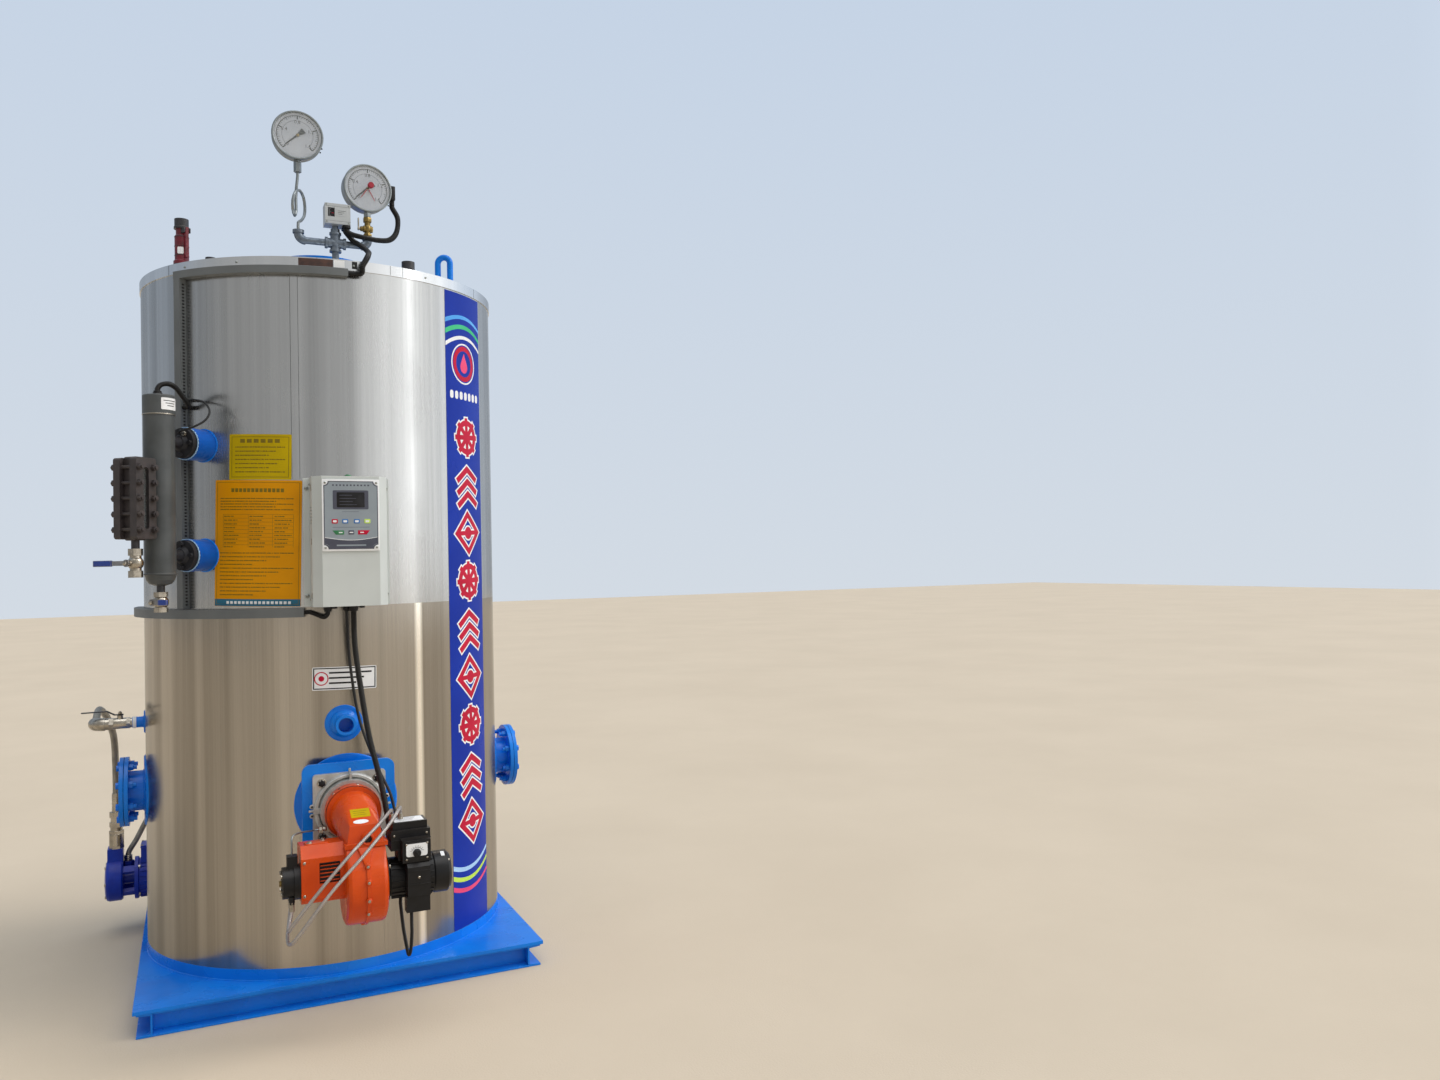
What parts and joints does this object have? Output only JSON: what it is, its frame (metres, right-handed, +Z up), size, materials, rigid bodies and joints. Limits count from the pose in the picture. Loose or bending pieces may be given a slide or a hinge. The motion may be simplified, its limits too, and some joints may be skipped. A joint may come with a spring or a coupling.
{
  "type": "industrial boiler",
  "caption": "Upright round steam boiler in bright cladding on a square steel base, with a front burner, feed pump, water column, control box and gauges on top.",
  "frame": {"origin": "centre of the square base, on the ground", "axes": "+X to the right seen from the burner side, +Y to the back, +Z up; the burner and the control box face -Y"},
  "size_m": [1.3563, 1.5756, 2.678],
  "materials": {
    "blue_paint": "gloss blue paint over steel",
    "pump_paint": "gloss ultramarine paint over cast iron",
    "stainless_sheet": "bright stainless sheet with a vertical grain",
    "dark_steel": "dark cast and forged steel",
    "galvanised": "galvanised pipe fittings",
    "gauge_steel": "brushed dial cases",
    "brass": "plain turned brass",
    "box_paint": "light grey powder coat",
    "switch_paint": "grey white enamel",
    "keypad_foil": "printed keypad foil",
    "duct_plastic": "grey wiring duct",
    "column_paint": "dark grey paint over steel, blue necks",
    "gauge_iron": "brown grey gauge casting",
    "sight_glass": "thick pressed glass",
    "nickel": "nickel plated brass valves",
    "lever_steel": "plated flat steel with a blue sleeve",
    "flange_aluminium": "sand cast aluminium",
    "orange_casting": "orange red enamel over castings",
    "black_casting": "black paint over castings",
    "black_plastic": "black moulded plastic",
    "conduit_plastic": "black ribbed conduit",
    "steel_braid": "stainless wire braid"
  },
  "bodies": {
    "boiler": {"side_channels": "blue_paint", "cross_channels": "blue_paint", "base_plate": "blue_paint", "skirt_ring": "blue_paint", "drum": "dark_steel", "cladding_lower": "stainless_sheet", "cladding_upper": "stainless_sheet", "lid": "stainless_sheet", "flue_collar": "blue_paint", "lifting_lugs": "blue_paint", "safety_valve_main": "dark_steel", "safety_valve_small": "dark_steel", "lid_plug": "dark_steel", "gauge_manifold": "galvanised", "siphon": "galvanised", "pressure_gauge": "gauge_steel", "contact_gauge": "gauge_steel", "gauge_cock": "brass", "pressure_switch": "switch_paint", "gauge_conduit": "conduit_plastic", "switch_conduit": "conduit_plastic", "duct_top": "duct_plastic", "duct_vertical": "duct_plastic", "duct_band": "duct_plastic", "level_nozzles": "column_paint", "level_column": "column_paint", "glass_gauge_body": "gauge_iron", "glass_gauge_covers": "gauge_iron", "glass_gauge_panes": "sight_glass", "column_conduit": "conduit_plastic", "column_lead": "conduit_plastic", "gauge_drain_valve": "nickel", "column_drain_valve": "nickel", "control_box": "box_paint", "control_box_cover": "box_paint", "keypad": "keypad_foil", "box_conduit": "conduit_plastic", "peephole": "blue_paint", "burner_plate": "blue_paint", "burner_flange_casting": "flange_aluminium", "burner_housing": "orange_casting", "burner_motor": "black_casting", "burner_pump": "black_casting", "burner_control": "black_plastic", "burner_plug": "black_plastic", "oil_pipe": "galvanised", "oil_hoses": "steel_braid", "burner_conduit": "conduit_plastic", "burner_leads": "conduit_plastic", "handhole_necks": "blue_paint", "handhole_covers": "blue_paint", "feed_nozzle": "blue_paint", "feed_valve": "nickel", "feed_hose": "steel_braid", "feed_pump": "pump_paint", "pump_motor": "pump_paint", "suction_hose": "steel_braid"},
    "feed_lever_body": {"feed_lever": "lever_steel"},
    "gauge_lever_body": {"gauge_drain_lever": "lever_steel"},
    "column_lever_body": {"column_drain_lever": "lever_steel"}
  },
  "joints": [
    {"name": "feed_lever_turn", "type": "hinge", "parent": "boiler", "child": "feed_lever_body", "pos_m": [-0.62, 0, 0.808], "axis": [0, 0, 1], "range_deg": [0, 90]},
    {"name": "gauge_lever_turn", "type": "hinge", "parent": "boiler", "child": "gauge_lever_body", "pos_m": [-0.56766, -0.6045, 1.282], "axis": [-0.6845, -0.729, 0], "range_deg": [0, 90]},
    {"name": "column_lever_turn", "type": "hinge", "parent": "boiler", "child": "column_lever_body", "pos_m": [-0.50947, -0.54253, 1.173], "axis": [0.6845, 0.729, 0], "range_deg": [0, 90]}
  ]
}
